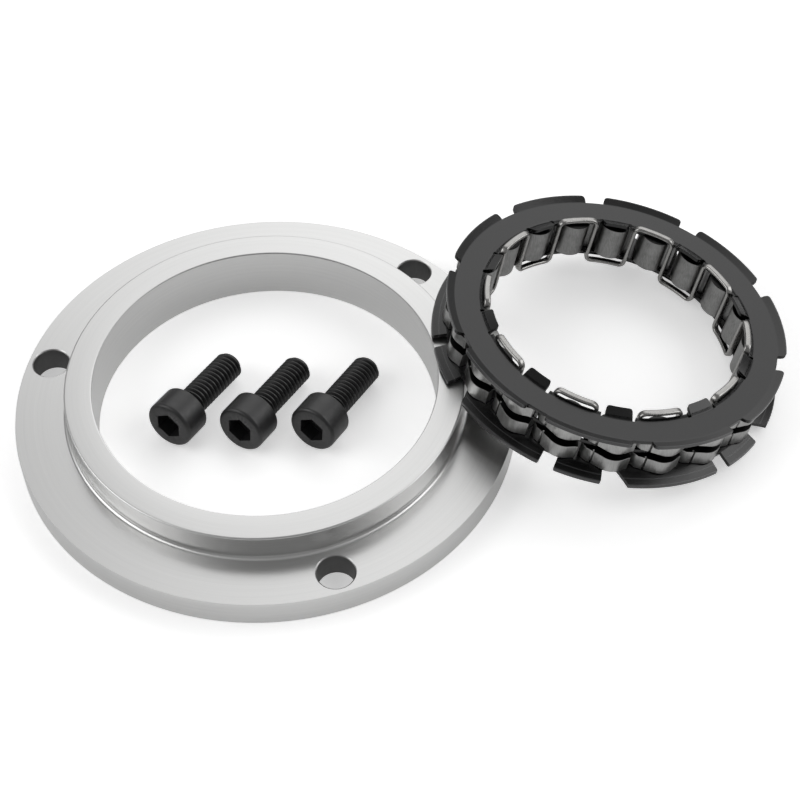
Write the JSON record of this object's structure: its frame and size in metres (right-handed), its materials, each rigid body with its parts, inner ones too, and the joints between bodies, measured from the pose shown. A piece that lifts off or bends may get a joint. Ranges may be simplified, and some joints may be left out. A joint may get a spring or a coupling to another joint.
{
  "type": "sprag clutch",
  "caption": "Sprag one-way clutch kit: flanged outer race ring, caged sprag unit with ribbon spring leaning on its collar, and socket-head mounting screws.",
  "frame": {"origin": "on the outer race's bore axis, at the race's back face, which lies on the ground", "axes": "+Z along the bore axis, from the back face towards the collar; +X towards the leaning sprag unit"},
  "size_m": [0.1543, 0.1, 0.0228],
  "materials": {
    "ring_steel": "turned",
    "black_sheet": "black oxide, satin",
    "spring_steel": "polished",
    "sprag_steel": "ground",
    "black_screw": "black oxide, satin"
  },
  "bodies": {
    "outer_race": {"outer_race": "ring_steel"},
    "sprag_cage": {"top_plate": "black_sheet", "bottom_plate": "black_sheet", "ribbon_spring": "spring_steel", "garter_band": "black_sheet"},
    "sprag_01": {"sprag_01": "sprag_steel"},
    "sprag_02": {"sprag_02": "sprag_steel"},
    "sprag_03": {"sprag_03": "sprag_steel"},
    "sprag_04": {"sprag_04": "sprag_steel"},
    "sprag_05": {"sprag_05": "sprag_steel"},
    "sprag_06": {"sprag_06": "sprag_steel"},
    "sprag_07": {"sprag_07": "sprag_steel"},
    "sprag_08": {"sprag_08": "sprag_steel"},
    "sprag_09": {"sprag_09": "sprag_steel"},
    "sprag_10": {"sprag_10": "sprag_steel"},
    "sprag_11": {"sprag_11": "sprag_steel"},
    "sprag_12": {"sprag_12": "sprag_steel"},
    "sprag_13": {"sprag_13": "sprag_steel"},
    "sprag_14": {"sprag_14": "sprag_steel"},
    "sprag_15": {"sprag_15": "sprag_steel"},
    "sprag_16": {"sprag_16": "sprag_steel"},
    "sprag_17": {"sprag_17": "sprag_steel"},
    "sprag_18": {"sprag_18": "sprag_steel"},
    "sprag_19": {"sprag_19": "sprag_steel"},
    "sprag_20": {"sprag_20": "sprag_steel"},
    "screw_1": {"screw_1": "black_screw"},
    "screw_2": {"screw_2": "black_screw"},
    "screw_3": {"screw_3": "black_screw"}
  },
  "joints": [
    {"name": "sprag_unit_lift", "type": "slide", "parent": "outer_race", "child": "sprag_cage", "axis": [0, 0, 1], "range_m": [0, 0.04]},
    {"name": "sprag_01_rock", "type": "hinge", "parent": "sprag_cage", "child": "sprag_01", "pos_m": [0.09859, 0.00865, 0.00681], "axis": [0.167, 0.0274, 0.9856], "range_deg": [-5, 5]},
    {"name": "sprag_02_rock", "type": "hinge", "parent": "sprag_cage", "child": "sprag_02", "pos_m": [0.09793, 0.01799, 0.00666], "axis": [0.167, 0.0274, 0.9856], "range_deg": [-5, 5]},
    {"name": "sprag_03_rock", "type": "hinge", "parent": "sprag_cage", "child": "sprag_03", "pos_m": [0.09445, 0.02668, 0.00701], "axis": [0.167, 0.0274, 0.9856], "range_deg": [-5, 5]},
    {"name": "sprag_04_rock", "type": "hinge", "parent": "sprag_cage", "child": "sprag_04", "pos_m": [0.0885, 0.03386, 0.00782], "axis": [0.167, 0.0274, 0.9856], "range_deg": [-5, 5]},
    {"name": "sprag_05_rock", "type": "hinge", "parent": "sprag_cage", "child": "sprag_05", "pos_m": [0.08066, 0.03884, 0.00901], "axis": [0.167, 0.0274, 0.9856], "range_deg": [-5, 5]},
    {"name": "sprag_06_rock", "type": "hinge", "parent": "sprag_cage", "child": "sprag_06", "pos_m": [0.0717, 0.04113, 0.01046], "axis": [0.167, 0.0274, 0.9856], "range_deg": [-5, 5]},
    {"name": "sprag_07_rock", "type": "hinge", "parent": "sprag_cage", "child": "sprag_07", "pos_m": [0.06249, 0.04049, 0.01204], "axis": [0.167, 0.0274, 0.9856], "range_deg": [-5, 5]},
    {"name": "sprag_08_rock", "type": "hinge", "parent": "sprag_cage", "child": "sprag_08", "pos_m": [0.05394, 0.03701, 0.01359], "axis": [0.167, 0.0274, 0.9856], "range_deg": [-5, 5]},
    {"name": "sprag_09_rock", "type": "hinge", "parent": "sprag_cage", "child": "sprag_09", "pos_m": [0.04688, 0.03101, 0.01495], "axis": [0.167, 0.0274, 0.9856], "range_deg": [-5, 5]},
    {"name": "sprag_10_rock", "type": "hinge", "parent": "sprag_cage", "child": "sprag_10", "pos_m": [0.04201, 0.02308, 0.016], "axis": [0.167, 0.0274, 0.9856], "range_deg": [-5, 5]},
    {"name": "sprag_11_rock", "type": "hinge", "parent": "sprag_cage", "child": "sprag_11", "pos_m": [0.0398, 0.01401, 0.01662], "axis": [0.167, 0.0274, 0.9856], "range_deg": [-5, 5]},
    {"name": "sprag_12_rock", "type": "hinge", "parent": "sprag_cage", "child": "sprag_12", "pos_m": [0.04046, 0.00467, 0.01677], "axis": [0.167, 0.0274, 0.9856], "range_deg": [-5, 5]},
    {"name": "sprag_13_rock", "type": "hinge", "parent": "sprag_cage", "child": "sprag_13", "pos_m": [0.04394, -0.00402, 0.01642], "axis": [0.167, 0.0274, 0.9856], "range_deg": [-5, 5]},
    {"name": "sprag_14_rock", "type": "hinge", "parent": "sprag_cage", "child": "sprag_14", "pos_m": [0.04989, -0.0112, 0.01561], "axis": [0.167, 0.0274, 0.9856], "range_deg": [-5, 5]},
    {"name": "sprag_15_rock", "type": "hinge", "parent": "sprag_cage", "child": "sprag_15", "pos_m": [0.05773, -0.01618, 0.01442], "axis": [0.167, 0.0274, 0.9856], "range_deg": [-5, 5]},
    {"name": "sprag_16_rock", "type": "hinge", "parent": "sprag_cage", "child": "sprag_16", "pos_m": [0.06669, -0.01846, 0.01297], "axis": [0.167, 0.0274, 0.9856], "range_deg": [-5, 5]},
    {"name": "sprag_17_rock", "type": "hinge", "parent": "sprag_cage", "child": "sprag_17", "pos_m": [0.0759, -0.01783, 0.01139], "axis": [0.167, 0.0274, 0.9856], "range_deg": [-5, 5]},
    {"name": "sprag_18_rock", "type": "hinge", "parent": "sprag_cage", "child": "sprag_18", "pos_m": [0.08445, -0.01435, 0.00984], "axis": [0.167, 0.0274, 0.9856], "range_deg": [-5, 5]},
    {"name": "sprag_19_rock", "type": "hinge", "parent": "sprag_cage", "child": "sprag_19", "pos_m": [0.09151, -0.00835, 0.00848], "axis": [0.167, 0.0274, 0.9856], "range_deg": [-5, 5]},
    {"name": "sprag_20_rock", "type": "hinge", "parent": "sprag_cage", "child": "sprag_20", "pos_m": [0.09638, -0.00042, 0.00743], "axis": [0.167, 0.0274, 0.9856], "range_deg": [-5, 5]},
    {"name": "screw_1_lift", "type": "slide", "parent": "outer_race", "child": "screw_1", "axis": [0, 0, 1], "range_m": [0, 0.03]},
    {"name": "screw_2_lift", "type": "slide", "parent": "outer_race", "child": "screw_2", "axis": [0, 0, 1], "range_m": [0, 0.03]},
    {"name": "screw_3_lift", "type": "slide", "parent": "outer_race", "child": "screw_3", "axis": [0, 0, 1], "range_m": [0, 0.03]}
  ],
  "couplings": [
    {"joint": "sprag_02_rock", "follows": "sprag_01_rock", "ratio": 1},
    {"joint": "sprag_03_rock", "follows": "sprag_01_rock", "ratio": 1},
    {"joint": "sprag_04_rock", "follows": "sprag_01_rock", "ratio": 1},
    {"joint": "sprag_05_rock", "follows": "sprag_01_rock", "ratio": 1},
    {"joint": "sprag_06_rock", "follows": "sprag_01_rock", "ratio": 1},
    {"joint": "sprag_07_rock", "follows": "sprag_01_rock", "ratio": 1},
    {"joint": "sprag_08_rock", "follows": "sprag_01_rock", "ratio": 1},
    {"joint": "sprag_09_rock", "follows": "sprag_01_rock", "ratio": 1},
    {"joint": "sprag_10_rock", "follows": "sprag_01_rock", "ratio": 1},
    {"joint": "sprag_11_rock", "follows": "sprag_01_rock", "ratio": 1},
    {"joint": "sprag_12_rock", "follows": "sprag_01_rock", "ratio": 1},
    {"joint": "sprag_13_rock", "follows": "sprag_01_rock", "ratio": 1},
    {"joint": "sprag_14_rock", "follows": "sprag_01_rock", "ratio": 1},
    {"joint": "sprag_15_rock", "follows": "sprag_01_rock", "ratio": 1},
    {"joint": "sprag_16_rock", "follows": "sprag_01_rock", "ratio": 1},
    {"joint": "sprag_17_rock", "follows": "sprag_01_rock", "ratio": 1},
    {"joint": "sprag_18_rock", "follows": "sprag_01_rock", "ratio": 1},
    {"joint": "sprag_19_rock", "follows": "sprag_01_rock", "ratio": 1},
    {"joint": "sprag_20_rock", "follows": "sprag_01_rock", "ratio": 1}
  ]
}
